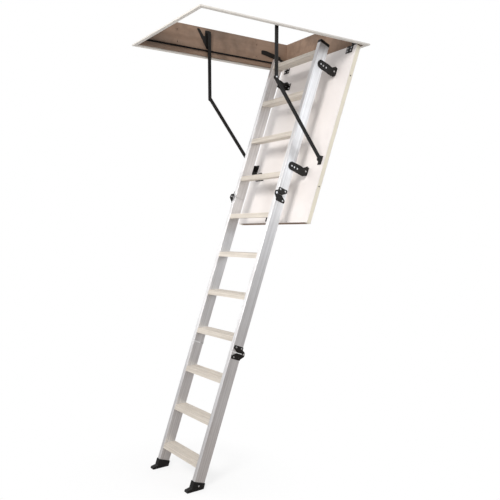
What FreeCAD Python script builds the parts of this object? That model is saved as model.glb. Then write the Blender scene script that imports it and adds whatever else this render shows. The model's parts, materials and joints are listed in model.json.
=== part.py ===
import FreeCAD, Part

# Folding loft ladder: a framed, insulated hatch with a three-section aluminium ladder.
# Millimetres.  +X runs along the opening towards the hinge end, +Y across it, +Z up.
# The origin is the centre of the ceiling opening, on the ceiling's plane.
# The rest pose is the ladder in use: hatch open on its arms, three sections in one line.
#
# Everything carried by the hatch is drawn in the hatch's own frame, as if the hatch were shut:
# the origin is the hinge axis, "along" counts from it towards the free end (local -X)
# and "height" counts up from it, through the door to the ladder (local +Z).

import math
import os
from FreeCAD import Placement, Rotation, Vector

DRIVING = {
    # hatch box
    "inner_length": 1112.0,
    "inner_width": 680.0,
    "board_thick": 18.0,
    "box_height": 163.0,
    "trim_thick": 8.0,
    "trim_overhang": 15.0,
    "trim_setback": 10.0,
    "seal_size": 8.0,
    "seal_gap": 2.0,
    "seal_end": 60.0,
    # hatch hinge and door
    "open_angle": 70.0,
    "axis_inset": 8.0,
    "axis_level": -5.0,
    "knuckle_radius": 6.0,
    "hinge_pin_radius": 3.0,
    "leaf_thick": 2.5,
    "leaf_width": 50.0,
    "leaf_reach": 42.0,
    "leaf_offset": 283.0,
    "side_strap": 3.0,
    "door_thick": 33.0,
    "skin_thick": 3.0,
    "rail_width": 45.0,
    "side_rail_width": 22.0,
    "door_side_gap": 5.0,
    "door_hinge_gap": 8.0,
    "door_free_gap": 5.0,
    "door_below_axis": 5.0,
    # ladder
    "ladder_width": 440.0,
    "stile_width": 28.0,
    "stile_depth": 72.0,
    "stile_wall": 1.8,
    "stile_corner": 3.0,
    "ladder_standoff": 103.0,
    "ladder_top": 38.0,
    "cap_height": 18.0,
    "upper_fold_along": 985.0,
    "lower_fold_along": 1935.0,
    "fold_axis_offset": 10.0,
    "section_gap": 2.0,
    "tread_pitch": 250.0,
    "tread_first": 130.0,
    "tread_height": 28.0,
    "tread_wall": 2.2,
    "groove_depth": 1.2,
    # fold hinges
    "fold_plate": 3.0,
    "fold_eye_radius": 9.0,
    "fold_pin_radius": 4.0,
    "fold_plate_reach": 40.0,
    "layer_gap": 0.4,
    # feet
    "shoe_top": 2703.0,
    "shoe_sole": 2775.0,
    "shoe_wall": 3.0,
    "shoe_toe": 26.0,
    "shoe_socket": 10.0,
    # ladder brackets
    "bracket_plate": 3.0,
    "bracket_upper": 172.0,
    "bracket_lower": 800.0,
    "bracket_half": 23.0,
    "bracket_top": 152.0,
    "bracket_flange": 23.0,
    "bracket_flange_length": 44.0,
    # stay arms
    "arm_width": 22.0,
    "arm_thick": 5.0,
    "arm_inset": 11.0,
    "arm_layer_gap": 1.0,
    "arm_pivot_radius": 5.0,
    "frame_pivot_from_axis": 628.0,
    "frame_pivot_level": 130.0,
    "upper_arm_length": 388.0,
    "door_pivot_along": 721.0,
    "door_pivot_height": 53.0,
    "arm_bracket_plate": 3.0,
    # latch
    "latch_width": 60.0,
    "latch_length": 52.0,
    "latch_height": 20.0,
    "bolt_width": 24.0,
    "bolt_height": 9.0,
    "bolt_throw": 8.0,
    "bolt_travel": 12.0,
    "bolt_clearance": 0.3,
    "bolt_rise": 5.0,
    "strike_plate": 2.0,
    "slot_margin": 3.0,
    # fasteners and clearances
    "running_clearance": 0.06,
    "screw_radius": 2.2,
    "screw_head_radius": 4.5,
    "screw_head_height": 2.2,
    "screw_bite": 12.0,
    "rivet_radius": 3.0,
    "rivet_head_radius": 5.5,
    "rivet_head_height": 2.6,
    "fixing_radius": 3.5,
    "fixing_spacing": 600.0,
    "fixing_rise": 70.0,
    "fixing_level": 90.0,
}

doc = FreeCAD.newDocument("loft_ladder")
sheet = doc.addObject("Spreadsheet::Sheet", "dims")
for row, (alias, number) in enumerate(DRIVING.items(), start=1):
    sheet.set(f"A{row}", alias)
    sheet.set(f"B{row}", repr(number))
    sheet.setAlias(f"B{row}", alias)
doc.recompute()


class Sizes:
    """The sheet's values, read by name."""

    def __getattr__(self, name):
        return float(getattr(sheet, name))


d = Sizes()
NEAR, FAR = -1, 1
SIDES = {"near": NEAR, "far": FAR}
subparts = []

# ---------------------------------------------------------------- derived places

open_rad = math.radians(d.open_angle)
half_length = d.inner_length / 2
half_width = d.inner_width / 2
axis_x = half_length - d.axis_inset
axis_z = d.axis_level
door_low = -d.door_below_axis
door_top = door_low + d.door_thick
seal_level = axis_z + door_top + d.seal_gap
door_half = half_width - d.door_side_gap
door_start = d.door_hinge_gap
door_end = axis_x + half_length - d.door_free_gap
ladder_half = d.ladder_width / 2
tread_half = ladder_half - d.stile_width
rear_face = door_top + d.ladder_standoff
front_face = rear_face + d.stile_depth
upper_axis = (d.upper_fold_along, front_face + d.fold_axis_offset)
lower_axis = (d.lower_fold_along, rear_face - d.fold_axis_offset)
HATCH = Placement(Vector(axis_x, 0, axis_z), Rotation(Vector(0, 1, 0), -d.open_angle))
ROOM = Placement()


def local(along, height, across=0.0):
    """A place in the hatch's frame."""
    return Vector(-along, across, height)


def world(along, height, across=0.0):
    """The same place in the part's frame, with the hatch open."""
    return HATCH.multVec(local(along, height, across))


# ---------------------------------------------------------------- building helpers

def keep(feature, label):
    feature.Label = label
    subparts.append(feature)
    return feature


def rounded(points, radii):
    """Edges of a closed outline whose corner k is rounded by radii[k]."""
    count = len(points)
    corners = []
    for k in range(count):
        here = Vector(*points[k], 0)
        before = Vector(*points[k - 1], 0)
        after = Vector(*points[(k + 1) % count], 0)
        to_before = (before - here).normalize()
        to_after = (after - here).normalize()
        radius = radii[k] if isinstance(radii, (list, tuple)) else radii
        if radius <= 0:
            corners.append((here, here, None))
            continue
        half = to_before.getAngle(to_after) / 2
        reach = radius / math.tan(half)
        middle = (to_before + to_after).normalize()
        centre = here + middle * (radius / math.sin(half))
        corners.append((here + to_before * reach, here + to_after * reach, centre - middle * radius))
    edges = []
    for k in range(count):
        first, last, top = corners[k]
        following = corners[(k + 1) % count][0]
        if top is not None:
            edges.append(Part.Arc(first, top, last))
        if last.distanceToPoint(following) > 1e-4:
            edges.append(Part.LineSegment(last, following))
    return edges


def rectangle(low, high, radius=0.0):
    corners = [(low[0], low[1]), (high[0], low[1]), (high[0], high[1]), (low[0], high[1])]
    return rounded(corners, radius)


def ring(centre, radius):
    return [Part.Circle(Vector(centre[0], centre[1], 0), Vector(0, 0, 1), radius)]


def sketch_on(body, role, lift, outlines):
    """A sketch on one of the body's own planes, lifted along that plane's normal."""
    sketch = body.newObject("Sketcher::SketchObject", body.Name + "_sketch")
    plane = [item for item in body.Origin.OriginFeatures if item.Role == role][0]
    sketch.AttachmentSupport = [(plane, "")]
    sketch.MapMode = "FlatFace"
    sketch.AttachmentOffset = Placement(Vector(0, 0, lift), Rotation())
    for outline in outlines:
        sketch.addGeometry(outline, False)
    return sketch


def padded(body, role, lift, outlines, length):
    """A pad whose length is an expression in the sheet's names."""
    pad = body.newObject("PartDesign::Pad", body.Name + "_pad")
    pad.Profile = sketch_on(body, role, lift, outlines)
    pad.setExpression("Length", length)
    body.Tip = pad
    return pad


def pocketed(body, role, lift, outlines, length):
    """A pocket cut from the lifted plane along its normal, checked to remove material."""
    doc.recompute()
    before = body.Shape.Volume
    pocket = body.newObject("PartDesign::Pocket", body.Name + "_pocket")
    pocket.Profile = sketch_on(body, role, lift, outlines)
    pocket.Reversed = True
    pocket.setExpression("Length", length)
    body.Tip = pocket
    doc.recompute()
    if body.Shape.Volume > before - 1:
        raise RuntimeError(body.Label + ": a pocket removed nothing")
    return pocket


def new_body(label, frame):
    body = doc.addObject("PartDesign::Body", label)
    body.Placement = frame
    return keep(body, label)


def block(label, frame, low, size):
    """A Part::Box from its low corner; size holds three expressions."""
    box = doc.addObject("Part::Box", label)
    for side, expression in zip(("Length", "Width", "Height"), size):
        box.setExpression(side, expression)
    box.Placement = frame.multiply(Placement(Vector(*low), Rotation()))
    return box


def cylinder(label, frame, radius, height, base, direction):
    rod = doc.addObject("Part::Cylinder", label)
    rod.setExpression("Radius", radius)
    rod.setExpression("Height", height)
    rod.Placement = frame.multiply(Placement(base, Rotation(Vector(0, 0, 1), direction)))
    return rod


def group(label, members):
    """Several separate solids of one kind, kept as one sub-part."""
    bundle = doc.addObject("Part::Compound", label)
    bundle.Links = members
    return keep(bundle, label)


def lift_of(side, inner, outer):
    """The XZ plane's lift for a feature between two distances from the centre plane."""
    return inner if side == NEAR else -outer


def upright(body, side, inner, outlines, thickness):
    """A plate parallel to the stiles, whose face nearest the centre plane is inner away from it."""
    lift = lift_of(side, inner, inner + getattr(d, thickness))
    return padded(body, "XZ_Plane", lift, outlines, "dims." + thickness)


def stud(base, direction, head_radius, head_height, shank_radius, shank_length):
    """A fastener with a crowned head standing on base and a shank running back from it."""
    rim = 0.35 * head_height
    shank = Part.makeCylinder(shank_radius, shank_length, Vector(0, 0, -shank_length))
    head = Part.makeCylinder(head_radius, rim)
    crown = Part.makeCone(head_radius, 0.6 * head_radius, head_height - rim, Vector(0, 0, rim))
    solid = shank.fuse([head, crown]).removeSplitter()
    solid.Placement = Placement(base, Rotation(Vector(0, 0, 1), direction))
    return solid


def studs(label, frame, places, kind, shank_length):
    """A group of identical screws or rivets; each place is its base and outward direction."""
    radii = {
        "screw": (d.screw_head_radius, d.screw_head_height, d.screw_radius),
        "rivet": (d.rivet_head_radius, d.rivet_head_height, d.rivet_radius),
    }
    feature = doc.addObject("Part::Feature", label)
    feature.Shape = Part.makeCompound([stud(*place, *radii[kind], shank_length) for place in places])
    feature.Placement = frame
    return keep(feature, label)


# ---------------------------------------------------------------- hatch box

def screw_hole(centre):
    return ring(centre, d.screw_radius + d.running_clearance)


def side_board(name, side):
    body = new_body("side_board_" + name, ROOM)
    outer = half_length + d.board_thick
    outline = rectangle((-outer, 0), (outer, d.box_height))
    holes = []
    for x in (-d.fixing_spacing / 2, d.fixing_spacing / 2):
        for z in (d.fixing_level - d.fixing_rise / 2, d.fixing_level + d.fixing_rise / 2):
            holes.append(ring((x, z), d.fixing_radius))
    lift = lift_of(side, half_width, half_width + d.board_thick)
    padded(body, "XZ_Plane", lift, [outline] + holes, "dims.board_thick")


def end_board_hinge():
    body = new_body("end_board_hinge", ROOM)
    outline = rectangle((-half_width, 0), (half_width, d.box_height))
    padded(body, "YZ_Plane", half_length, [outline], "dims.board_thick")


bolt_low = door_top + d.bolt_rise
slot_half = d.bolt_width / 2 + d.slot_margin
slot_rise = d.bolt_height / 2 + d.slot_margin
bolt_level = axis_z + bolt_low + d.bolt_height / 2


def end_board_latch():
    body = new_body("end_board_latch", ROOM)
    outline = rectangle((-half_width, 0), (half_width, d.box_height))
    padded(body, "YZ_Plane", -half_length - d.board_thick, [outline], "dims.board_thick")
    recess = rectangle((-slot_half, bolt_level - slot_rise), (slot_half, bolt_level + slot_rise))
    pocketed(body, "YZ_Plane", -half_length - 0.75 * d.board_thick, [recess], "dims.board_thick")


def frame_screws():
    """Two screws through each end of both side boards into the end boards."""
    places = []
    for side in SIDES.values():
        for end in (-1, 1):
            for z in (0.25 * d.box_height, 0.75 * d.box_height):
                x = end * (half_length + d.board_thick / 2)
                base = Vector(x, side * (half_width + d.board_thick), z)
                places.append((base, Vector(0, side, 0)))
    studs("frame_screws", ROOM, places, "screw", 3 * d.board_thick)


def mitred_strip(name, low, high, axis):
    """One length of ceiling trim between two 45 degree mitres."""
    outer_x = half_length + d.board_thick + d.trim_overhang
    outer_y = half_width + d.board_thick + d.trim_overhang
    inner_x = half_length + d.trim_setback
    inner_y = half_width + d.trim_setback
    if axis == "X":
        outline = [(-outer_x, high * outer_y), (outer_x, high * outer_y),
                   (inner_x, high * inner_y), (-inner_x, high * inner_y)]
    else:
        outline = [(high * outer_x, -outer_y), (high * outer_x, outer_y),
                   (high * inner_x, inner_y), (high * inner_x, -inner_y)]
    body = doc.addObject("PartDesign::Body", name)
    padded(body, "XY_Plane", low, [rounded(outline, 0.0)], "dims.trim_thick")
    return body


def ceiling_trim():
    low = -d.trim_thick
    long_strips = [mitred_strip(f"trim_long_{k}", low, side, "X") for k, side in enumerate((-1, 1))]
    end_strips = [mitred_strip(f"trim_end_{k}", low, side, "Y") for k, side in enumerate((-1, 1))]
    group("trim_side_strips", long_strips)
    group("trim_end_strips", end_strips)


def draught_seal():
    """Three lengths of rubber that the shut door presses on; the hinge end has none."""
    strips = []
    for name, side in SIDES.items():
        low_y = -half_width if side == NEAR else half_width - d.seal_size
        strips.append(block("seal_" + name, ROOM, (-half_length, low_y, seal_level),
                            ("dims.inner_length - dims.seal_end", "dims.seal_size", "dims.seal_size")))
    across = ("dims.seal_size", "dims.inner_width - 2 * dims.seal_size", "dims.seal_size")
    strips.append(block("seal_latch", ROOM, (-half_length, -half_width + d.seal_size, seal_level), across))
    group("draught_seal", strips)


def strike_plate():
    """A steel plate on the latch end, slotted for the bolt and held by two screws."""
    body = new_body("strike_plate", ROOM)
    ear = 16.0
    low_z = seal_level + d.seal_size + 1
    high_z = bolt_level + slot_rise
    outline = rectangle((-slot_half - ear, low_z), (slot_half + ear, high_z + 14), 3.0)
    slot = rectangle((-slot_half, low_z + d.slot_margin), (slot_half, high_z), 1.0)
    holes = [screw_hole((y, bolt_level + 4)) for y in (-slot_half - ear / 2, slot_half + ear / 2)]
    padded(body, "YZ_Plane", -half_length, [outline, slot] + holes, "dims.strike_plate")


# ---------------------------------------------------------------- hatch hinges

def frame_leaf(name, centre):
    """A plate on the end board with the two outer knuckles of the hinge."""
    wall = axis_x + d.axis_inset
    width = d.leaf_width
    plate = block(name + "_plate", ROOM, (wall - d.leaf_thick, centre - width / 2, axis_z),
                  ("dims.leaf_thick", "dims.leaf_width", "dims.leaf_reach"))
    rods = []
    for low in (centre - width / 2, centre + width / 6 + 0.5):
        rods.append(cylinder(name + "_knuckle", ROOM, "dims.knuckle_radius", "dims.leaf_width / 3 - 0.5",
                             Vector(axis_x, low, axis_z), Vector(0, 1, 0)))
    clear = cylinder(name + "_clear", ROOM, "dims.knuckle_radius + dims.layer_gap", "dims.leaf_width / 3 + 1",
                     Vector(axis_x, centre - width / 6 - 0.5, axis_z), Vector(0, 1, 0))
    bore = cylinder(name + "_bore", ROOM, "dims.hinge_pin_radius + dims.running_clearance",
                    "dims.leaf_width + 2", Vector(axis_x, centre - width / 2 - 1, axis_z), Vector(0, 1, 0))
    return cut(name, fuse(name + "_solid", [plate] + rods), [clear, bore])


def door_leaf(name, centre):
    """A cranked strap: knuckle, up the door's end, and back along its inner face."""
    width = d.leaf_width
    reach = door_start + d.leaf_reach
    upstand = block(name + "_upstand", HATCH, (-door_start, centre - width / 2, 0),
                    ("dims.leaf_thick", "dims.leaf_width",
                     "dims.door_thick - dims.door_below_axis + dims.leaf_thick"))
    flat = block(name + "_flat", HATCH, (-reach, centre - width / 2, door_top),
                 ("dims.leaf_reach + dims.leaf_thick", "dims.leaf_width", "dims.leaf_thick"))
    rod = cylinder(name + "_knuckle", HATCH, "dims.knuckle_radius", "dims.leaf_width / 3 - 0.5",
                   local(0, 0, centre - width / 6 + 0.25), Vector(0, 1, 0))
    tools = [cylinder(name + "_bore", HATCH, "dims.hinge_pin_radius + dims.running_clearance",
                      "dims.leaf_width + 2", local(0, 0, centre - width / 2 - 1), Vector(0, 1, 0))]
    for low in (centre - width / 2 - 1, centre + width / 6):
        tools.append(cylinder(name + "_clear", HATCH, "dims.knuckle_radius + dims.layer_gap",
                              "dims.leaf_width / 3 + 1", local(0, 0, low), Vector(0, 1, 0)))
    return cut(name, fuse(name + "_solid", [upstand, flat, rod]), tools)


def fuse(name, members):
    joined = doc.addObject("Part::MultiFuse", name)
    joined.Shapes = members
    return joined


def cut(name, base, tools):
    """The base less every tool."""
    result = doc.addObject("Part::Cut", name)
    result.Base = base
    result.Tool = fuse(name + "_tools", tools) if len(tools) > 1 else tools[0]
    return result


def hatch_hinges():
    centres = [side * d.leaf_offset for side in SIDES.values()]
    frame_side = [frame_leaf(f"frame_leaf_{k}", y) for k, y in enumerate(centres)] + side_straps()
    group("hatch_hinge_frame_leaves", frame_side)
    group("hatch_hinge_door_leaves", [door_leaf(f"door_leaf_{k}", y) for k, y in enumerate(centres)])
    pins = []
    for k, y in enumerate(centres):
        pins.append(cylinder(f"hinge_pin_{k}", ROOM, "dims.hinge_pin_radius", "dims.leaf_width",
                             Vector(axis_x, y - d.leaf_width / 2, axis_z), Vector(0, 1, 0)))
    group("hatch_hinge_pins", pins)


def side_straps():
    """A cranked strap on each side board near the hinge end, screwed on like the leaves."""
    straps = []
    start, end = axis_x - 210, axis_x - 50
    corners = [(start, 74), (start, 98), (start + 42, 98), (end, 76), (end, 50), (start + 100, 58)]
    for name, side in SIDES.items():
        body = doc.addObject("PartDesign::Body", "side_strap_" + name)
        upright(body, side, half_width - d.side_strap, [rounded(corners, [5, 8, 20, 6, 6, 20])], "side_strap")
        straps.append(body)
    return straps


# ---------------------------------------------------------------- door

def door_slab(label, along, across, height, size):
    """A rectangular piece of the door: two values of along and across, and three expressions."""
    return block(label, HATCH, (-along[1], across[0], height), size)


def door():
    """Two skins over a frame of rails with foam inside; the side rails run the whole length."""
    length = "dims.inner_length - dims.axis_inset - dims.door_free_gap - dims.door_hinge_gap"
    width = "dims.inner_width - 2 * dims.door_side_gap"
    core = "dims.door_thick - 2 * dims.skin_thick"
    whole = (door_start, door_end)
    inside = (door_start + d.rail_width, door_end - d.rail_width)
    edge = door_half - d.side_rail_width
    core_low = door_low + d.skin_thick
    for name, level in (("door_room_skin", door_low), ("door_inner_skin", door_top - d.skin_thick)):
        skin = door_slab(name, whole, (-door_half, door_half), level, (length, width, "dims.skin_thick"))
        keep(skin, name)
    foam = (length + " - 2 * dims.rail_width", width + " - 2 * dims.side_rail_width", core)
    keep(door_slab("door_insulation", inside, (-edge, edge), core_low, foam), "door_insulation")
    side_size = (length, "dims.side_rail_width", core)
    group("door_side_rails", [door_slab(f"side_rail_{k}", whole, (low, 0), core_low, side_size)
                              for k, low in enumerate((-door_half, edge))])
    end_size = ("dims.rail_width", width + " - 2 * dims.side_rail_width", core)
    group("door_end_rails", [door_slab(f"end_rail_{k}", span, (-edge, edge), core_low, end_size)
                             for k, span in enumerate(((whole[0], inside[0]), (inside[1], whole[1])))])
    plugs = []
    for side in SIDES.values():
        for share in (0.17, 0.79):
            along = door_start + share * door_end
            plugs.append((local(along, (door_low + door_top) / 2, side * door_half), Vector(0, side, 0)))
    studs("door_edge_screws", HATCH, plugs, "screw", d.screw_bite)


# ---------------------------------------------------------------- latch

def latch():
    case_low = door_end - d.latch_length - 4
    body = new_body("latch_case", HATCH)
    half = d.latch_width / 2
    case = rectangle((-half, door_top), (half, door_top + d.latch_height), 3.0)
    gap = d.bolt_clearance
    reach = d.bolt_width / 2 + gap
    slot = rectangle((-reach, bolt_low - gap), (reach, bolt_low + d.bolt_height + gap))
    padded(body, "YZ_Plane", -case_low - d.latch_length, [case, slot], "dims.latch_length")
    bolt = new_body("latch_bolt", HATCH)
    tip = axis_x + half_length + d.bolt_throw
    back = case_low + d.bolt_travel + 4
    shape = rounded([(-tip, bolt_low), (-back, bolt_low), (-back, bolt_low + d.bolt_height),
                     (-tip + d.bolt_height, bolt_low + d.bolt_height)], [1.0, 0, 0, 1.0])
    padded(bolt, "XZ_Plane", -d.bolt_width / 2, [shape], "dims.bolt_width")


# ---------------------------------------------------------------- ladder sections

def stile(label, side, start, end, length):
    """A rectangular aluminium tube from start to end along the ladder."""
    body = new_body(label, HATCH)
    edges = sorted((side * ladder_half, side * tread_half))
    wall = d.stile_wall
    outer = rectangle((edges[0], rear_face), (edges[1], front_face), d.stile_corner)
    inner = rectangle((edges[0] + wall, rear_face + wall), (edges[1] - wall, front_face - wall),
                      d.stile_corner - wall + 0.4)
    padded(body, "YZ_Plane", -end, [outer, inner], length)


def ribbed(first, last, count, depth):
    """Points from first to last with count square grooves sunk to the right of the way."""
    start = Vector(*first, 0)
    way = Vector(*last, 0) - start
    sink = Vector(way.y, -way.x, 0).normalize() * depth
    pitch = 1.0 / (count + 0.5)
    points = [start]
    for k in range(count):
        low = (k + 0.5) * pitch
        high = low + 0.5 * pitch
        points += [start + way * low, start + way * low + sink, start + way * high + sink, start + way * high]
    return [(point.x, point.y) for point in points]


def tread_outlines():
    """Parallelogram section: level top and bottom, front and back in the stiles' planes."""
    height = d.tread_height
    lean = height / math.tan(open_rad)
    depth = d.stile_depth / math.sin(open_rad)
    rear_low, rear_high = (depth, 0), (depth + lean, height)
    front_low, front_high = (0, 0), (lean, height)
    outline = ribbed(front_low, front_high, 4, d.groove_depth)
    outline += ribbed(front_high, rear_high, 11, d.groove_depth)
    outline += [rear_high, rear_low]
    wall = d.tread_wall
    slope = lean / height
    low, high = wall, height - wall - d.groove_depth
    front = (wall + d.groove_depth) / math.sin(open_rad)
    back = wall / math.sin(open_rad)
    hollow = [(front + slope * low, low), (depth - back + slope * low, low),
              (depth - back + slope * high, high), (front + slope * high, high)]
    return [rounded(outline, 0.0), rounded(hollow, 0.0)]


def tread(number):
    along = d.tread_first + (number - 1) * d.tread_pitch
    place = world(along, front_face)
    body = new_body(f"tread_{number:02d}", Placement(place, Rotation()))
    padded(body, "XZ_Plane", -tread_half, tread_outlines(), "dims.ladder_width - 2 * dims.stile_width")


SECTIONS = {
    1: (d.ladder_top + d.cap_height, d.upper_fold_along - d.section_gap / 2,
        "dims.upper_fold_along - dims.ladder_top - dims.cap_height - dims.section_gap / 2", range(1, 5)),
    2: (d.upper_fold_along + d.section_gap / 2, d.lower_fold_along - d.section_gap / 2,
        "dims.lower_fold_along - dims.upper_fold_along - dims.section_gap", range(5, 9)),
    3: (d.lower_fold_along + d.section_gap / 2, d.shoe_top + d.shoe_socket,
        "dims.shoe_top + dims.shoe_socket - dims.lower_fold_along - dims.section_gap / 2", range(9, 12)),
}


def ladder_sections():
    for number, (start, end, length, treads) in SECTIONS.items():
        for name, side in SIDES.items():
            stile(f"stile_{number}_{name}", side, start, end, length)
        for step in treads:
            tread(step)


def top_end_caps():
    caps = []
    for name, side in SIDES.items():
        low_y = min(side * ladder_half, side * tread_half)
        caps.append(block("cap_" + name, HATCH, (-d.ladder_top - d.cap_height, low_y, rear_face),
                          ("dims.cap_height", "dims.stile_width", "dims.stile_depth")))
    group("top_end_caps", caps)


# ---------------------------------------------------------------- fold hinges

def leaf_outline(axis, front, sign, lipped):
    """Half of the hourglass: a plate on one stile that narrows towards the axis.

    sign is -1 for the stile above the axis and +1 for the one below it.  A lipped plate runs
    out to the axis and carries the inner eye; a plain one stays on its stile, so that the two
    fold past each other.
    """
    out = math.copysign(1.0, d.fold_axis_offset if front else -d.fold_axis_offset)
    face = axis[1] - out * d.fold_axis_offset
    deep = face - out * 0.92 * d.stile_depth
    far_end = axis[0] + sign * d.fold_plate_reach
    shoulder = axis[0] + sign * 22
    waist = axis[0] + sign * 2
    neck = face - out * 0.5 * d.stile_depth
    lip = axis[1] + out * d.fold_eye_radius
    if lipped:
        corners = [(far_end, deep), (far_end, face), (shoulder, face), (axis[0] + sign * 12, lip),
                   (waist, lip), (waist, neck), (shoulder, deep)]
        radii = [6, 6, 8, 2, 2, 5, 8]
    else:
        corners = [(far_end, deep), (far_end, face), (waist, face), (waist, neck), (shoulder, deep)]
        radii = [6, 6, 2, 5, 8]
    return [(-along, height) for along, height in corners], radii


def strap_outline(axis, front, sign):
    """The raised strap from a plain leaf out to the eye in the outer layer."""
    out = d.fold_axis_offset if front else -d.fold_axis_offset
    face = axis[1] - out
    lip = math.copysign(d.fold_eye_radius, out)
    tip = axis[0] + sign * 34
    points = [(axis[0], axis[1] + lip), (axis[0] + sign * 12, axis[1] + lip), (tip, face - 0.5 * lip),
              (tip, face - 2.4 * lip), (axis[0], axis[1] - lip)]
    return rounded([(-along, height) for along, height in points], [0, 2, 3, 3, 0])


def fold_leaf(name, side, axis, front, sign, outer_eye):
    """A leaf plate on the stile's outer face, with its eye in the inner or the outer layer."""
    body = doc.addObject("PartDesign::Body", name)
    body.Placement = HATCH
    points, radii = leaf_outline(axis, front, sign, not outer_eye)
    upright(body, side, ladder_half, [rounded(points, radii)], "fold_plate")
    centre = (-axis[0], axis[1])
    layer = ladder_half + d.fold_plate
    if outer_eye:
        # this leaf's eye sits in the outer layer, on a strap relieved over the other leaf's eye
        thick = "dims.fold_plate + dims.layer_gap"
        lift = lift_of(side, layer, layer + d.fold_plate + d.layer_gap)
        padded(body, "XZ_Plane", lift, [strap_outline(axis, front, sign)], thick)
        padded(body, "XZ_Plane", lift, [ring(centre, d.fold_eye_radius)], thick)
        relief = lift_of(side, layer, layer + d.layer_gap)
        clear = d.fold_eye_radius + d.layer_gap + 0.6
        pocketed(body, "XZ_Plane", relief, [ring(centre, clear)], "dims.layer_gap")
    else:
        eye = [ring(centre, d.fold_eye_radius)]
        padded(body, "XZ_Plane", lift_of(side, ladder_half, layer), eye, "dims.fold_plate")
    bore = [ring(centre, d.fold_pin_radius + d.running_clearance)]
    through = lift_of(side, ladder_half, ladder_half + 3 * d.fold_plate)
    pocketed(body, "XZ_Plane", through, bore, "3 * dims.fold_plate")
    return body


def fold_pins(label, axis):
    """Shouldered pins with a head at each end, held by the inner eye."""
    pins = []
    length = 2 * d.fold_plate + 2 * d.layer_gap
    for side in SIDES.values():
        base = local(axis[0], axis[1], side * ladder_half)
        direction = Vector(0, side, 0)
        shank = Part.makeCylinder(d.fold_pin_radius, length, base, direction)
        head = Part.makeCylinder(1.7 * d.fold_pin_radius, 1.6, base + direction * length, direction)
        pins.append(shank.fuse(head).removeSplitter())
    feature = doc.addObject("Part::Feature", label)
    feature.Shape = Part.makeCompound(pins)
    feature.Placement = HATCH
    return keep(feature, label)


def leaf_rivets(axis, front, sign):
    out = d.fold_axis_offset if front else -d.fold_axis_offset
    face = axis[1] - out
    along = axis[0] + sign * (d.fold_plate_reach - 11)
    return [(along, face - math.copysign(share * d.stile_depth, out)) for share in (0.17, 0.70)]


def rivet_places(points, level):
    return [(local(along, height, side * level), Vector(0, side, 0)) for side in SIDES.values()
            for along, height in points]


def fold_hinges():
    joints = {"upper": (upper_axis, True, (1, 2)), "lower": (lower_axis, False, (2, 3))}
    for name, (axis, front, sections) in joints.items():
        for sign, section in zip((-1, 1), sections):
            leaves = [fold_leaf(f"{name}_leaf_{section}_{word}", side, axis, front, sign, sign > 0)
                      for word, side in SIDES.items()]
            group(f"{name}_fold_leaves_s{section}", leaves)
        fold_pins(f"{name}_fold_pins", axis)
    level = ladder_half + d.fold_plate
    sole_rivet = (d.shoe_top + 22, (rear_face + front_face) / 2)
    first = rivet_places(leaf_rivets(upper_axis, True, -1), level)
    middle = rivet_places(leaf_rivets(upper_axis, True, 1) + leaf_rivets(lower_axis, False, -1), level)
    last = rivet_places(leaf_rivets(lower_axis, False, 1), level)
    last += rivet_places([sole_rivet], ladder_half + d.shoe_wall)
    studs("fold_rivets_s1", HATCH, first, "rivet", d.fold_plate + d.stile_wall)
    studs("fold_rivets_s2", HATCH, middle, "rivet", d.fold_plate + d.stile_wall)
    studs("fold_rivets_s3", HATCH, last, "rivet", d.fold_plate + d.stile_wall)


# ---------------------------------------------------------------- feet

def foot(name, side):
    """A moulded shoe: socket round the stile, level sole, toe ahead of the ladder."""
    body = new_body("foot_" + name, HATCH)
    wall = d.shoe_wall
    front = front_face + wall
    rear = rear_face - wall
    rise = (front + d.shoe_toe - rear) / math.tan(open_rad)
    sole_front = d.shoe_sole
    sole_rear = sole_front - rise
    points = [(d.shoe_top, rear), (d.shoe_top, front), (sole_front - 30, front),
              (sole_front - 14, front + d.shoe_toe), (sole_front, front + d.shoe_toe), (sole_rear, rear)]
    outline = rounded([(-along, height) for along, height in points], [2, 2, 6, 3, 3, 3])
    inner, outer = tread_half - wall, ladder_half + wall
    padded(body, "XZ_Plane", lift_of(side, inner, outer), [outline], "dims.stile_width + 2 * dims.shoe_wall")
    edges = sorted((side * ladder_half, side * tread_half))
    socket = rectangle((edges[0], rear_face), (edges[1], front_face), d.stile_corner)
    pocketed(body, "YZ_Plane", -d.shoe_top - d.shoe_socket, [socket], "dims.shoe_sole")


# ---------------------------------------------------------------- brackets from ladder to door

def bracket_outline(centre):
    """A boomerang plate: long lobe on the stile, heel on the door, tip turned up the ladder."""
    half = d.bracket_half
    top = door_top + d.bracket_top
    points = [(centre + half, top), (centre - half, top), (centre - half - 4, door_top + 72),
              (centre - half - 1, door_top + 42), (centre - half - 21, door_top + 16),
              (centre - half - 15, door_top), (centre + 8, door_top), (centre + half + 2, door_top + 32)]
    radii = [half - 1, half - 1, 20, 8, 5, 3, 24, 24]
    return rounded([(-along, height) for along, height in points], radii)


def bracket_places(centre):
    """Rivets in a row down the plate: two in the stile, two in the plate alone."""
    return [(centre, door_top + 130), (centre + 1, door_top + 110), (centre, door_top + 86),
            (centre - 11, door_top + 19)]


def ladder_brackets():
    for name, centre in (("upper", d.bracket_upper), ("lower", d.bracket_lower)):
        members = []
        for word, side in SIDES.items():
            body = doc.addObject("PartDesign::Body", f"bracket_{name}_{word}")
            body.Placement = HATCH
            upright(body, side, ladder_half, [bracket_outline(centre)], "bracket_plate")
            low_y = min(side * ladder_half, side * (ladder_half - d.bracket_flange))
            low_x = -centre - 8
            flange = rectangle((low_x, low_y), (low_x + d.bracket_flange_length, low_y + d.bracket_flange))
            padded(body, "XY_Plane", door_top, [flange], "dims.bracket_plate")
            members.append(body)
        group(f"ladder_brackets_{name}", members)


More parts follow.
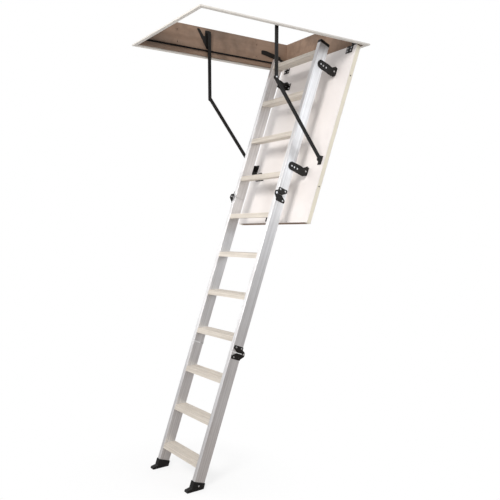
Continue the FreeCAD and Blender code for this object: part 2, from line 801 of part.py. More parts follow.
def bracket_screws():
    """Rivets through the ladder brackets, and screws through their flanges and the hinge leaves."""
    places = []
    for centre in (d.bracket_upper, d.bracket_lower):
        for side in SIDES.values():
            level = side * (ladder_half + d.bracket_plate)
            outward = Vector(0, side, 0)
            places += [(local(along, height, level), outward) for along, height in bracket_places(centre)]
            foot_level = side * (ladder_half - 0.55 * d.bracket_flange)
            for along in (centre - 26, centre - 3):
                places.append((local(along, door_top + d.bracket_plate, foot_level), Vector(0, 0, 1)))
    for side in SIDES.values():
        for along in (door_start + 12, door_start + 30):
            for shift in (-0.28 * d.leaf_width, 0.28 * d.leaf_width):
                across = side * d.leaf_offset + shift
                places.append((local(along, door_top + d.leaf_thick, across), Vector(0, 0, 1)))
    studs("hatch_screws", HATCH, places, "rivet", d.fold_plate + 1.6)


# ---------------------------------------------------------------- stay arms

lower_layer = half_width - d.arm_inset - 2 * d.arm_thick - d.arm_layer_gap
upper_layer = half_width - d.arm_inset - d.arm_thick
frame_pivot = Vector(axis_x - d.frame_pivot_from_axis, 0, d.frame_pivot_level)
elbow = frame_pivot - Vector(0, 0, d.upper_arm_length)
door_pivot = world(d.door_pivot_along, d.door_pivot_height)


def bar_frame(start, end):
    """A frame at start whose local +X runs to end, still upright in Y."""
    way = end - start
    angle = math.degrees(math.atan2(-way.z, way.x))
    return Placement(start, Rotation(Vector(0, 1, 0), angle))


def arm(label, side, start, end, layer, lobe):
    """A pressed bar with a round eye at both ends, a stiffening groove and, on one, a stop lobe."""
    body = new_body(label, bar_frame(start, end))
    half = d.arm_width / 2
    length = (end - start).Length
    outline = rounded([(-half, -half), (length + half, -half), (length + half, half), (-half, half)], half)
    hole = ring((0, 0), d.arm_pivot_radius + d.running_clearance)
    upright(body, side, layer, [outline, hole], "arm_thick")
    if lobe:
        corners = [(length - 20, 0), (length + 4, 0), (length + 13, 12), (length - 2, 15)]
        upright(body, side, layer, [rounded(corners, [2, 3, 5, 6])], "arm_thick")
    groove = rectangle((2.2 * half, -0.3 * half), (length - 2.2 * half, 0.3 * half), 0.28 * half)
    outer = layer + d.arm_thick
    lift = lift_of(side, outer - 0.3 * d.arm_thick, outer)
    pocketed(body, "XZ_Plane", lift, [groove], "0.3 * dims.arm_thick")


def stay_arms():
    for name, side in SIDES.items():
        arm("upper_arm_" + name, side, frame_pivot, elbow, upper_layer, True)
        arm("lower_arm_" + name, side, door_pivot, elbow, lower_layer, False)
    for name, side in SIDES.items():
        outer = upper_layer + d.arm_thick
        place = Vector(elbow.x, side * outer, elbow.z)
        studs("elbow_rivet_" + name, ROOM, [(place, Vector(0, side, 0))], "rivet", 1.0)


def frame_arm_brackets():
    """Plates on the side boards with a slanted strut, each with the pin its upper arm turns on."""
    members = []
    x, z = frame_pivot.x, frame_pivot.z
    low = seal_level + d.seal_size + 8
    corners = [(x - 13, low), (x + 10, low), (x + 19, z - 30), (x + 19, z + 18), (x - 22, z + 18),
               (x - 26, z - 26), (x - 64, z + 22), (x - 82, z + 22)]
    reach = half_width - d.arm_bracket_plate
    shoulder = upper_layer + d.arm_thick + 0.5
    for name, side in SIDES.items():
        body = doc.addObject("PartDesign::Body", "frame_arm_bracket_" + name)
        upright(body, side, reach, [rounded(corners, [4, 8, 30, 5, 5, 6, 3, 3])], "arm_bracket_plate")
        padded(body, "XZ_Plane", lift_of(side, shoulder, reach), [ring((x, z), 2 * d.arm_pivot_radius)],
               "dims.arm_inset - dims.arm_bracket_plate - 0.5")
        padded(body, "XZ_Plane", lift_of(side, upper_layer - 1.0, reach), [ring((x, z), d.arm_pivot_radius)],
               "dims.arm_inset + dims.arm_thick - dims.arm_bracket_plate + 1")
        members.append(body)
    group("arm_frame_brackets", members)


def door_arm_brackets():
    """Angle brackets on the door, each with the pin its lower arm turns on."""
    members = []
    along, height = d.door_pivot_along, d.door_pivot_height
    half = 26.0
    inner = lower_layer - 1.0 - d.arm_bracket_plate
    corners = [(-along - half, door_top), (-along + half, door_top), (-along + half - 12, height + 14),
               (-along - half + 12, height + 14)]
    for name, side in SIDES.items():
        body = doc.addObject("PartDesign::Body", "door_arm_bracket_" + name)
        body.Placement = HATCH
        upright(body, side, inner, [rounded(corners, [0, 0, 10, 10])], "arm_bracket_plate")
        low_y = min(side * inner, side * (inner - half))
        flange = rectangle((-along - half, low_y), (-along + half, low_y + half))
        padded(body, "XY_Plane", door_top, [flange], "dims.arm_bracket_plate")
        pin = lift_of(side, inner, lower_layer + d.arm_thick - 1.0)
        padded(body, "XZ_Plane", pin, [ring((-along, height), d.arm_pivot_radius)],
               "dims.arm_bracket_plate + dims.arm_thick")
        members.append(body)
    group("arm_door_brackets", members)


# ---------------------------------------------------------------- assembly and export

def check(objects):
    for item in objects:
        if {"Invalid", "Error"} & set(item.State):
            raise RuntimeError(f"{item.Label} failed: {item.State}")
    for item in subparts:
        if item.Shape.isNull() or not item.Shape.isValid():
            raise RuntimeError(f"{item.Label} has no valid shape")


for word, which in SIDES.items():
    side_board(word, which)
end_board_hinge()
end_board_latch()
frame_screws()
ceiling_trim()
draught_seal()
strike_plate()
hatch_hinges()
door()
latch()
ladder_sections()
top_end_caps()
fold_hinges()
for word, which in SIDES.items():
    foot(word, which)
ladder_brackets()
bracket_screws()
stay_arms()
frame_arm_brackets()
door_arm_brackets()
doc.recompute()
check(doc.Objects)
os.makedirs("parts", exist_ok=True)
for item in subparts:
    item.Shape.exportStep(f"parts/{item.Label}.step")
print(len(subparts), "sub-parts")
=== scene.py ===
import json
import math

import bmesh
import bpy
from mathutils import Matrix, Vector


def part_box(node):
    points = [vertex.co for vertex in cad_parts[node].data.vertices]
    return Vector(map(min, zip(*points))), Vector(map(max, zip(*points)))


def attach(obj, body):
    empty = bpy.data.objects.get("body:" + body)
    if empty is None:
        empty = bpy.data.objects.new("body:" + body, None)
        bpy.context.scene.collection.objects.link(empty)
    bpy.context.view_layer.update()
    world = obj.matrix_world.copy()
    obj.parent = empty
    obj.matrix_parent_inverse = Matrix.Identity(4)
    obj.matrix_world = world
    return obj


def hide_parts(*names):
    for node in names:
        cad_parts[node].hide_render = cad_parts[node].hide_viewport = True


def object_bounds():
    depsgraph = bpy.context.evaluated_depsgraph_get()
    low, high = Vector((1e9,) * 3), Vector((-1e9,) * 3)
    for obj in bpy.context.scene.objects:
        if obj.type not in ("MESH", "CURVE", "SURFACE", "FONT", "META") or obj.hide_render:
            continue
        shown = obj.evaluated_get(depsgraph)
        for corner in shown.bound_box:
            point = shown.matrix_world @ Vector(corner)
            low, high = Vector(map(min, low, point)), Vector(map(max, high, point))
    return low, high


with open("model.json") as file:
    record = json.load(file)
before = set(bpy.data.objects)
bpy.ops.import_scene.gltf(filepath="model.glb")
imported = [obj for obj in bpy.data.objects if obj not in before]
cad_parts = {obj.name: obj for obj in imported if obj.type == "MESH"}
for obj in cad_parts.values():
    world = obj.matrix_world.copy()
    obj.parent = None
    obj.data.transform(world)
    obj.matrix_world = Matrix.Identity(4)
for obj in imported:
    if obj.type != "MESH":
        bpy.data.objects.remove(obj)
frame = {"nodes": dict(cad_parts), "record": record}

# Folding loft ladder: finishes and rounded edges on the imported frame.
# Metres.  +X runs towards the hatch's hinge end, +Y to the ladder's far side, +Z up;
# the origin is the centre of the ceiling opening.

cad_low, cad_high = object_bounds()
nodes = frame["nodes"]
record = frame["record"]
slot_of = {part["node"]: part["material_slot"] for part in record["subparts"]}
body_of = {name: body for body, names in record["behaviour"]["bodies"].items() for name in names}
OPEN_ANGLE = math.radians(70)
BELOW_SOLES = 0.0005
BELOW_CEILING_FACE = 0.0004
TRIM_LAP = 0.004
WELD = 0.000002
WORN_REACH = 0.0012


# ---------------------------------------------------------------- camera, light and stage

def camera():
    """Stands below the hatch on its latch side and looks up along the ladder's near side."""
    yaw, pitch, roll = math.radians(33.385), math.radians(-9.055), math.radians(-0.529)
    level_share = math.cos(pitch)
    ahead = Vector((math.sin(yaw) * level_share, math.cos(yaw) * level_share, math.sin(pitch)))
    level = Vector((math.cos(yaw), -math.sin(yaw), 0))
    upward = level.cross(ahead)
    right = level * math.cos(roll) + upward * math.sin(roll)
    top = upward * math.cos(roll) - level * math.sin(roll)
    data = bpy.data.cameras.new("camera")
    data.sensor_width = 36
    data.lens = 42.76
    data.shift_x = 0.0731
    data.shift_y = 0.1476
    data.clip_end = 100
    eye = bpy.data.objects.new("camera", data)
    bpy.context.scene.collection.objects.link(eye)
    eye.matrix_world = Matrix((
        (right.x, top.x, -ahead.x, -2.2210),
        (right.y, top.y, -ahead.y, -2.9392),
        (right.z, top.z, -ahead.z, -1.0632),
        (0, 0, 0, 1),
    ))
    bpy.context.scene.camera = eye


def soft_light(name, place, target, size, power, colour):
    data = bpy.data.lights.new(name, "AREA")
    data.shape = "RECTANGLE"
    data.size, data.size_y = size
    data.energy = power
    data.color = colour
    lamp = bpy.data.objects.new(name, data)
    bpy.context.scene.collection.objects.link(lamp)
    lamp.location = place
    lamp.rotation_euler = (Vector(target) - Vector(place)).to_track_quat("-Z", "Y").to_euler()
    lamp.visible_camera = False


def studio():
    """Even white surroundings, a warm key, a wide glow on the front faces, a cool side fill."""
    scene = bpy.context.scene
    scene.view_settings.view_transform = "Standard"
    world = bpy.data.worlds.new("studio")
    scene.world = world
    world.use_nodes = True
    tree = world.node_tree
    tree.nodes.clear()
    output = tree.nodes.new("ShaderNodeOutputWorld")
    seen = tree.nodes.new("ShaderNodeBackground")
    seen.inputs["Color"].default_value = (1, 1, 1, 1)
    lit = tree.nodes.new("ShaderNodeBackground")
    lit.inputs["Color"].default_value = (0.98, 0.98, 1.0, 1)
    lit.inputs["Strength"].default_value = 0.60
    paths = tree.nodes.new("ShaderNodeLightPath")
    choice = tree.nodes.new("ShaderNodeMixShader")
    tree.links.new(paths.outputs["Is Camera Ray"], choice.inputs["Fac"])
    tree.links.new(lit.outputs[0], choice.inputs[1])
    tree.links.new(seen.outputs[0], choice.inputs[2])
    tree.links.new(choice.outputs[0], output.inputs["Surface"])
    soft_light("key", (-3.8, -2.2, 1.2), (-0.1, 0, -1.1), (1.4, 1.4), 150, (1.0, 0.97, 0.95))
    soft_light("front_glow", (-2.9, 3.6, 0.9), (0, 0, -1.2), (3.4, 3.0), 40, (1.0, 0.99, 0.98))
    soft_light("near_fill", (2.3, -4.0, 0.1), (0, 0, -0.5), (2.6, 1.6), 26, (0.90, 0.95, 1.0))


def floor():
    """A plain white floor that keeps a faint shadow round the shoes; darker in reflections."""
    bpy.ops.object.select_all(action="DESELECT")
    bpy.ops.mesh.primitive_plane_add(size=40, location=(0, 0, cad_low.z - BELOW_SOLES))
    plane = bpy.context.active_object
    plane.name = "floor"
    bpy.ops.object.transform_apply(location=True, rotation=True, scale=True)
    material, tree, surface = new_finish("floor")
    surface.inputs["Roughness"].default_value = 0.9
    surface.inputs["Specular IOR Level"].default_value = 0.1
    paths = tree.nodes.new("ShaderNodeLightPath")
    pale = (0.93, 0.93, 0.93, 1)
    reflected = (0.34, 0.30, 0.27, 1)
    shade = mix_colours(tree, paths.outputs["Is Glossy Ray"], pale, reflected)
    tree.links.new(shade, surface.inputs["Base Color"])
    feet_low, feet_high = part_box("foot_near")
    distance = tree.nodes.new("ShaderNodeVectorMath")
    distance.operation = "DISTANCE"
    coordinates = tree.nodes.new("ShaderNodeTexCoord")
    tree.links.new(coordinates.outputs["Object"], distance.inputs[0])
    distance.inputs[1].default_value = ((feet_low.x + feet_high.x) / 2, 0, cad_low.z)
    away = spread(tree, distance.outputs["Value"], 0.15, 0.75, 0.72, 1.0)
    white = tree.nodes.new("ShaderNodeEmission")
    choice = tree.nodes.new("ShaderNodeMixShader")
    output = next(node for node in tree.nodes if node.type == "OUTPUT_MATERIAL")
    seen = calculate(tree, "MULTIPLY", away, paths.outputs["Is Camera Ray"])
    tree.links.new(seen, choice.inputs["Fac"])
    tree.links.new(surface.outputs[0], choice.inputs[1])
    tree.links.new(white.outputs[0], choice.inputs[2])
    tree.links.new(choice.outputs[0], output.inputs["Surface"])
    plane.data.materials.append(material)


def ceiling():
    """A wide ceiling round the trim, seen only from below; it hides the box behind it."""
    low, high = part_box("trim_side_strips")
    bpy.ops.object.select_all(action="DESELECT")
    bpy.ops.mesh.primitive_plane_add(size=1, location=(0, 0, -BELOW_CEILING_FACE))
    plane = bpy.context.active_object
    plane.name = "ceiling"
    plane.scale = (high.x - low.x - 2 * TRIM_LAP, high.y - low.y - 2 * TRIM_LAP, 1)
    bpy.ops.object.transform_apply(location=True, rotation=True, scale=True)
    bpy.ops.object.mode_set(mode="EDIT")
    bpy.ops.mesh.select_all(action="SELECT")
    bpy.ops.mesh.extrude_region_move()
    bpy.ops.transform.resize(value=(7, 10, 1))
    bpy.ops.object.mode_set(mode="OBJECT")
    mesh = bmesh.new()
    mesh.from_mesh(plane.data)
    middle = [face for face in mesh.faces if face.calc_center_median().xy.length < 0.01]
    bmesh.ops.delete(mesh, geom=middle, context="FACES")
    for face in mesh.faces:
        if face.normal.z > 0:
            face.normal_flip()
    mesh.to_mesh(plane.data)
    mesh.free()
    material = bpy.data.materials.new("ceiling")
    material.use_nodes = True
    tree = material.node_tree
    tree.nodes.clear()
    output = tree.nodes.new("ShaderNodeOutputMaterial")
    white = tree.nodes.new("ShaderNodeEmission")
    clear = tree.nodes.new("ShaderNodeBsdfTransparent")
    choice = tree.nodes.new("ShaderNodeMixShader")
    geometry = tree.nodes.new("ShaderNodeNewGeometry")
    tree.links.new(geometry.outputs["Backfacing"], choice.inputs["Fac"])
    tree.links.new(white.outputs[0], choice.inputs[1])
    tree.links.new(clear.outputs[0], choice.inputs[2])
    tree.links.new(choice.outputs[0], output.inputs["Surface"])
    plane.data.materials.append(material)
    plane.visible_shadow = False
    plane.visible_diffuse = False
    plane.visible_glossy = False
    plane.visible_transmission = False


# ---------------------------------------------------------------- finish helpers

def new_finish(name):
    """A material with one Principled surface; returns the material, its tree and the surface."""
    material = bpy.data.materials.new(name)
    material.use_nodes = True
    tree = material.node_tree
    tree.nodes.clear()
    output = tree.nodes.new("ShaderNodeOutputMaterial")
    surface = tree.nodes.new("ShaderNodeBsdfPrincipled")
    tree.links.new(surface.outputs[0], output.inputs["Surface"])
    return material, tree, surface


def feed(tree, socket, value):
    """Sets a socket, or links it when the value is another node's output."""
    if isinstance(value, bpy.types.NodeSocket):
        tree.links.new(value, socket)
    else:
        socket.default_value = value


def mix_colours(tree, share, first, second):
    mixer = tree.nodes.new("ShaderNodeMix")
    mixer.data_type = "RGBA"
    feed(tree, mixer.inputs[0], share)
    feed(tree, mixer.inputs[6], first)
    feed(tree, mixer.inputs[7], second)
    return mixer.outputs[2]


def calculate(tree, operation, first, second=0.0, clamp=False):
    step = tree.nodes.new("ShaderNodeMath")
    step.operation = operation
    step.use_clamp = clamp
    feed(tree, step.inputs[0], first)
    feed(tree, step.inputs[1], second)
    return step.outputs[0]


def spread(tree, value, low, high, new_low=0.0, new_high=1.0):
    """Stretches a value from low..high to new_low..new_high, clamped."""
    ranger = tree.nodes.new("ShaderNodeMapRange")
    for socket, number in zip(ranger.inputs, (value, low, high, new_low, new_high)):
        feed(tree, socket, number)
    return ranger.outputs[0]


def noise(tree, vector, scale, detail=3.0, roughness=0.55):
    cloud = tree.nodes.new("ShaderNodeTexNoise")
    feed(tree, cloud.inputs["Vector"], vector)
    feed(tree, cloud.inputs["Scale"], scale)
    cloud.inputs["Detail"].default_value = detail
    cloud.inputs["Roughness"].default_value = roughness
    return cloud.outputs["Fac"]


def placed(tree, turn=(0, 0, 0), scale=(1, 1, 1)):
    """Object coordinates, turned and then stretched."""
    coordinates = tree.nodes.new("ShaderNodeTexCoord")
    turned = tree.nodes.new("ShaderNodeMapping")
    turned.inputs["Rotation"].default_value = turn
    stretched = tree.nodes.new("ShaderNodeMapping")
    stretched.inputs["Scale"].default_value = scale
    tree.links.new(coordinates.outputs["Object"], turned.inputs["Vector"])
    tree.links.new(turned.outputs[0], stretched.inputs["Vector"])
    return stretched.outputs[0]


def new_group(name, inputs, outputs):
    """An empty node group with named sockets; inputs are (name, kind, default)."""
    tree = bpy.data.node_groups.new(name, "ShaderNodeTree")
    kinds = {"colour": "NodeSocketColor", "number": "NodeSocketFloat", "vector": "NodeSocketVector"}
    for label, kind, default in inputs:
        socket = tree.interface.new_socket(label, in_out="INPUT", socket_type=kinds[kind])
        if default is not None:
            socket.default_value = default
    for label, kind in outputs:
        tree.interface.new_socket(label, in_out="OUTPUT", socket_type=kinds[kind])
    entry = tree.nodes.new("NodeGroupInput")
    leave = tree.nodes.new("NodeGroupOutput")
    return tree, entry.outputs, leave.inputs


def use(tree, group, **values):
    """Places a group in a material; keyword names match its inputs with _ for a space."""
    node = tree.nodes.new("ShaderNodeGroup")
    node.node_tree = group
    for name, value in values.items():
        feed(tree, node.inputs[name.replace("_", " ").capitalize()], value)
    return node.outputs


def rough_bump(tree, surface, height, strength, distance):
    bump = tree.nodes.new("ShaderNodeBump")
    bump.inputs["Strength"].default_value = strength
    bump.inputs["Distance"].default_value = distance
    feed(tree, bump.inputs["Height"], height)
    tree.links.new(bump.outputs[0], surface.inputs["Normal"])
    return bump


# ---------------------------------------------------------------- shared effects

def edge_wear_group():
    """Lightens worn corners: where the rounded normal leaves the face's own normal."""
    tree, given, made = new_group(
        "edge wear",
        [("Color", "colour", (0.5, 0.5, 0.5, 1)), ("Worn color", "colour", (0.8, 0.8, 0.8, 1)),
         ("Amount", "number", 0.5), ("Reach", "number", 0.0015), ("Patch scale", "number", 60.0)],
        [("Color", "colour")])
    rounded = tree.nodes.new("ShaderNodeBevel")
    rounded.samples = 4
    tree.links.new(given["Reach"], rounded.inputs["Radius"])
    geometry = tree.nodes.new("ShaderNodeNewGeometry")
    facing = tree.nodes.new("ShaderNodeVectorMath")
    facing.operation = "DOT_PRODUCT"
    tree.links.new(rounded.outputs[0], facing.inputs[0])
    tree.links.new(geometry.outputs["Normal"], facing.inputs[1])
    corner = spread(tree, facing.outputs["Value"], 0.995, 0.85)
    coordinates = tree.nodes.new("ShaderNodeTexCoord")
    cloud = noise(tree, coordinates.outputs["Object"], given["Patch scale"], 4.0, 0.6)
    patches = spread(tree, cloud, 0.38, 0.62)
    broken = calculate(tree, "MULTIPLY", corner, patches)
    mask = calculate(tree, "MULTIPLY", broken, given["Amount"], True)
    tree.links.new(mix_colours(tree, mask, given["Color"], given["Worn color"]), made["Color"])
    return tree


def drawn_metal_group():
    """Fine die lines along an extrusion, with slow cloudy changes of tone."""
    tree, given, made = new_group(
        "drawn metal",
        [("Vector", "vector", None), ("Color", "colour", (0.8, 0.8, 0.8, 1)),
         ("Line color", "colour", (0.6, 0.6, 0.6, 1)), ("Line amount", "number", 0.4),
         ("Roughness", "number", 0.35), ("Cloud scale", "number", 5.0)],
        [("Color", "colour"), ("Roughness", "number"), ("Height", "number")])
    lines = noise(tree, given["Vector"], 1.0, 4.0, 0.7)
    sharp = spread(tree, lines, 0.35, 0.68)
    coordinates = tree.nodes.new("ShaderNodeTexCoord")
    cloud = noise(tree, coordinates.outputs["Object"], given["Cloud scale"], 3.0)
    clouds = spread(tree, cloud, 0.3, 0.7)
    share = calculate(tree, "MULTIPLY", sharp, given["Line amount"])
    toned = mix_colours(tree, share, given["Color"], given["Line color"])
    dull_share = calculate(tree, "MULTIPLY", clouds, 0.10)
    dulled = mix_colours(tree, dull_share, toned, (0.45, 0.44, 0.43, 1))
    tree.links.new(dulled, made["Color"])
    rough = calculate(tree, "ADD", given["Roughness"], calculate(tree, "MULTIPLY", clouds, 0.12))
    rough = calculate(tree, "ADD", rough, calculate(tree, "MULTIPLY", sharp, 0.08))
    tree.links.new(rough, made["Roughness"])
    tree.links.new(sharp, made["Height"])
    return tree


def wood_group():
    """Sawn softwood: wavering grain, fine fibre, broad darker weathered patches."""
    tree, given, made = new_group(
        "sawn wood",
        [("Vector", "vector", None), ("Light color", "colour", (0.6, 0.45, 0.3, 1)),
         ("Dark color", "colour", (0.4, 0.28, 0.18, 1)),
         ("Stain color", "colour", (0.1, 0.07, 0.05, 1)), ("Stain amount", "number", 0.5)],
        [("Color", "colour"), ("Roughness", "number"), ("Height", "number")])
    grain = spread(tree, noise(tree, given["Vector"], 1.6, 5.0, 0.62), 0.32, 0.68)
    fibre = noise(tree, given["Vector"], 14.0, 5.0, 0.7)
    grain_share = calculate(tree, "MULTIPLY", grain, 0.62)
    fibre_share = calculate(tree, "MULTIPLY", fibre, 0.38)
    mixed = calculate(tree, "ADD", grain_share, fibre_share)
    grained = mix_colours(tree, mixed, given["Light color"], given["Dark color"])
    coordinates = tree.nodes.new("ShaderNodeTexCoord")
    patches = spread(tree, noise(tree, coordinates.outputs["Object"], 4.2, 4.0, 0.6), 0.48, 0.66)
    stained = calculate(tree, "MULTIPLY", patches, given["Stain amount"])
    tree.links.new(mix_colours(tree, stained, grained, given["Stain color"]), made["Color"])
    tree.links.new(spread(tree, fibre, 0.3, 0.7, 0.62, 0.82), made["Roughness"])
    tree.links.new(fibre, made["Height"])
    return tree


def handling_group():
    """Faint hand marks and settled dust; dust lies on faces that look up."""
    tree, given, made = new_group(
        "handling",
        [("Color", "colour", (0.8, 0.8, 0.8, 1)), ("Roughness", "number", 0.5),
         ("Marks", "number", 0.06), ("Dust", "number", 0.1), ("Scale", "number", 9.0)],
        [("Color", "colour"), ("Roughness", "number")])
    coordinates = tree.nodes.new("ShaderNodeTexCoord")
    cloud = noise(tree, coordinates.outputs["Object"], given["Scale"], 5.0, 0.65)
    marks = spread(tree, cloud, 0.45, 0.75)
    mark_share = calculate(tree, "MULTIPLY", marks, given["Marks"])
    marked = mix_colours(tree, mark_share, given["Color"], (0.30, 0.27, 0.24, 1))
    geometry = tree.nodes.new("ShaderNodeNewGeometry")
    split = tree.nodes.new("ShaderNodeSeparateXYZ")
    tree.links.new(geometry.outputs["Normal"], split.inputs[0])
    upward = spread(tree, split.outputs["Z"], 0.4, 1.0)
    lying = calculate(tree, "MULTIPLY", calculate(tree, "MULTIPLY", upward, given["Dust"]),
                      noise(tree, coordinates.outputs["Object"], 30.0, 4.0))
    tree.links.new(mix_colours(tree, lying, marked, (0.66, 0.63, 0.58, 1)), made["Color"])
    rough = calculate(tree, "ADD", given["Roughness"], calculate(tree, "MULTIPLY", marks, 0.10))
    dusty = calculate(tree, "MULTIPLY", lying, 0.4)
    tree.links.new(calculate(tree, "ADD", rough, dusty, True), made["Roughness"])
    return tree


EDGE_WEAR = edge_wear_group()
DRAWN_METAL = drawn_metal_group()
SAWN_WOOD = wood_group()
HANDLING = handling_group()


def soft_corners(tree, surface, reach, height=None, strength=0.2, distance=0.0002):
    """Rounds the light along sharp corners, with a bump on top where a height is given."""
    rounded = tree.nodes.new("ShaderNodeBevel")
    rounded.samples = 4
    rounded.inputs["Radius"].default_value = reach
    if height is None:
        tree.links.new(rounded.outputs[0], surface.inputs["Normal"])
        return
    bump = rough_bump(tree, surface, height, strength, distance)
    tree.links.new(rounded.outputs[0], bump.inputs["Normal"])


# ---------------------------------------------------------------- finishes

def extruded_finish(name, colour, line_colour, turn, scale, metallic, roughness, dust):
    material, tree, surface = new_finish(name)
    metal = use(tree, DRAWN_METAL, vector=placed(tree, turn, scale), color=colour,
                line_color=line_colour, line_amount=0.55, roughness=roughness)
    worn = use(tree, EDGE_WEAR, color=metal["Color"], worn_color=(0.92, 0.92, 0.92, 1),
               amount=0.35, reach=WORN_REACH)
    handled = use(tree, HANDLING, color=worn["Color"], roughness=metal["Roughness"],
                  marks=0.10, dust=dust)
    feed(tree, surface.inputs["Base Color"], handled["Color"])
    feed(tree, surface.inputs["Roughness"], handled["Roughness"])
    surface.inputs["Metallic"].default_value = metallic
    soft_corners(tree, surface, 0.0011, metal["Height"], 0.25, 0.00008)
    return material


def board_finish(name, light, dark, stain, stain_amount):
    material, tree, surface = new_finish(name)
    wood = use(tree, SAWN_WOOD, vector=placed(tree, scale=(1.1, 13, 13)), light_color=light,
               dark_color=dark, stain_color=stain, stain_amount=stain_amount)
    rubbed = tuple(1.25 * channel for channel in light[:3]) + (1,)
    worn = use(tree, EDGE_WEAR, color=wood["Color"], worn_color=rubbed, amount=0.4, reach=0.002,
               patch_scale=40.0)
    handled = use(tree, HANDLING, color=worn["Color"], roughness=wood["Roughness"], marks=0.18,
                  dust=0.1, scale=5.0)
    feed(tree, surface.inputs["Base Color"], handled["Color"])
    feed(tree, surface.inputs["Roughness"], handled["Roughness"])
    surface.inputs["Specular IOR Level"].default_value = 0.3
    soft_corners(tree, surface, 0.0012, wood["Height"], 0.5, 0.0004)
    return material


def painted_finish(name, colour, worn_colour, roughness, wear, marks, grain=0.15, dust=0.12,
                   gloss=0.5):
    """Sprayed paint or moulded plastic: faint orange peel, worn corners, hand marks."""
    material, tree, surface = new_finish(name)
    peel = noise(tree, placed(tree), 420.0, 2.0, 0.5)
    worn = use(tree, EDGE_WEAR, color=colour, worn_color=worn_colour, amount=wear,
               reach=WORN_REACH, patch_scale=90.0)
    handled = use(tree, HANDLING, color=worn["Color"], roughness=roughness, marks=marks,
                  dust=dust, scale=7.0)
    feed(tree, surface.inputs["Base Color"], handled["Color"])
    feed(tree, surface.inputs["Roughness"], handled["Roughness"])
    surface.inputs["Specular IOR Level"].default_value = gloss
    soft_corners(tree, surface, 0.0012, peel, grain, 0.0002)
    return material


def zinc_finish():
    material, tree, surface = new_finish("zinc plate")
    spangle = tree.nodes.new("ShaderNodeTexVoronoi")
    spangle.inputs["Scale"].default_value = 600.0
    tree.links.new(placed(tree), spangle.inputs["Vector"])
    cells = spread(tree, spangle.outputs["Distance"], 0.1, 0.7)
    tone = mix_colours(tree, cells, (0.78, 0.78, 0.77, 1), (0.55, 0.56, 0.58, 1))
    handled = use(tree, HANDLING, color=tone, roughness=0.26, marks=0.2, dust=0.05, scale=60.0)
    feed(tree, surface.inputs["Base Color"], handled["Color"])
    feed(tree, surface.inputs["Roughness"], handled["Roughness"])
    surface.inputs["Metallic"].default_value = 1.0
    soft_corners(tree, surface, 0.0006, spangle.outputs["Distance"], 0.1, 0.0001)
    return material


def foam_finish():
    material, tree, surface = new_finish("insulating foam")
    cells = tree.nodes.new("ShaderNodeTexVoronoi")
    cells.inputs["Scale"].default_value = 260.0
    tree.links.new(placed(tree), cells.inputs["Vector"])
    wall, middle = (0.80, 0.79, 0.72, 1), (0.90, 0.90, 0.86, 1)
    tone = mix_colours(tree, cells.outputs["Distance"], wall, middle)
    feed(tree, surface.inputs["Base Color"], tone)
    surface.inputs["Roughness"].default_value = 0.95
    rough_bump(tree, surface, cells.outputs["Distance"], 0.6, 0.0006)
    return material


def grey(level, warm=0.0):
    return (level + warm, level, level - warm, 1)


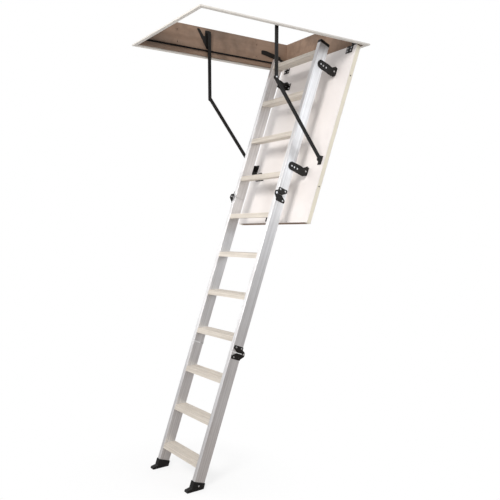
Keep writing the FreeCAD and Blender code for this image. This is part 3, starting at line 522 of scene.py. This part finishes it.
ALONG_LADDER = (0, OPEN_ANGLE, 0)
FINISHES = {
    # Raw board: both grain colours are set darker than the bare wood, painted shade standing in for
    # the shadow inside the hatch box; the box's outer faces get the same darkened colours.
    "raw_board": board_finish("raw board with painted shade", (0.34, 0.235, 0.17, 1), (0.22, 0.145, 0.10, 1),
                              (0.10, 0.065, 0.045, 1), 0.6),
    "trim_paint": painted_finish("trim paint", (0.68, 0.65, 0.60, 1), (0.80, 0.78, 0.74, 1),
                                 0.42, 0.4, 0.10),
    "seal_rubber": painted_finish("seal rubber", grey(0.008), grey(0.03), 0.75, 0.2, 0.02,
                                  grain=0.3, dust=0.01, gloss=0.25),
    "black_steel": painted_finish("black powder coat", grey(0.006, 0.001), grey(0.09, 0.01),
                                  0.42, 0.35, 0.02, grain=0.35, dust=0.015, gloss=0.28),
    "bright_steel": zinc_finish(),
    "door_white": painted_finish("door white", (0.84, 0.80, 0.775, 1), (0.92, 0.90, 0.88, 1),
                                 0.38, 0.2, 0.05, grain=0.06),
    "door_edge": painted_finish("door edge", (0.76, 0.71, 0.58, 1), (0.82, 0.78, 0.68, 1),
                                0.55, 0.3, 0.12, grain=0.2),
    "foam": foam_finish(),
    "plug_dark": painted_finish("dark screw", grey(0.05, 0.01), grey(0.2), 0.4, 0.5, 0.1),
    "stile_aluminium": extruded_finish("stile aluminium", (0.88, 0.88, 0.885, 1),
                                       (0.46, 0.44, 0.435, 1), ALONG_LADDER, (1.5, 130, 130),
                                       0.85, 0.31, 0.1),
    "tread_aluminium": extruded_finish("tread aluminium", (0.84, 0.78, 0.69, 1),
                                       (0.44, 0.39, 0.33, 1), (0, 0, 0), (150, 1.5, 150),
                                       0.45, 0.38, 0.15),
    "black_plastic": painted_finish("black plastic", grey(0.006), grey(0.04), 0.45, 0.25, 0.02,
                                    grain=0.5, dust=0.015, gloss=0.3),
}


# ---------------------------------------------------------------- pieces with softened edges

def softened(node_name, reach):
    """A copy of a plain part with its edges really rounded over, standing in for that part."""
    bpy.ops.object.select_all(action="DESELECT")
    piece = bpy.data.objects.new(node_name + "_rounded", nodes[node_name].data.copy())
    bpy.context.scene.collection.objects.link(piece)
    piece.select_set(True)
    bpy.context.view_layer.objects.active = piece
    bpy.ops.object.mode_set(mode="EDIT")
    bpy.ops.mesh.select_all(action="SELECT")
    bpy.ops.mesh.remove_doubles(threshold=WELD)
    bpy.ops.mesh.dissolve_limited(angle_limit=math.radians(1))
    bpy.ops.object.mode_set(mode="OBJECT")
    bevel = piece.modifiers.new("round over", "BEVEL")
    bevel.width = reach
    bevel.segments = 3
    bevel.limit_method = "ANGLE"
    bevel.angle_limit = math.radians(30)
    bpy.ops.object.modifier_apply(modifier=bevel.name)
    bpy.ops.object.shade_smooth_by_angle(angle=math.radians(35))
    slot = slot_of[node_name]
    piece.data.materials.clear()
    piece.data.materials.append(FINISHES[slot])
    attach(piece, body_of[node_name])
    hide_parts(node_name)


def paint_nodes():
    for name, node in nodes.items():
        node.data.materials.clear()
        node.data.materials.append(FINISHES[slot_of[name]])


ROUNDED = {
    "foot_near": 0.0016,
    "foot_far": 0.0016,
    "top_end_caps": 0.0012,
    "draught_seal": 0.0022,
    "trim_side_strips": 0.0016,
    "trim_end_strips": 0.0016,
}


# ---------------------------------------------------------------- scene

camera()
studio()
floor()
ceiling()
paint_nodes()
for name, reach in ROUNDED.items():
    softened(name, reach)
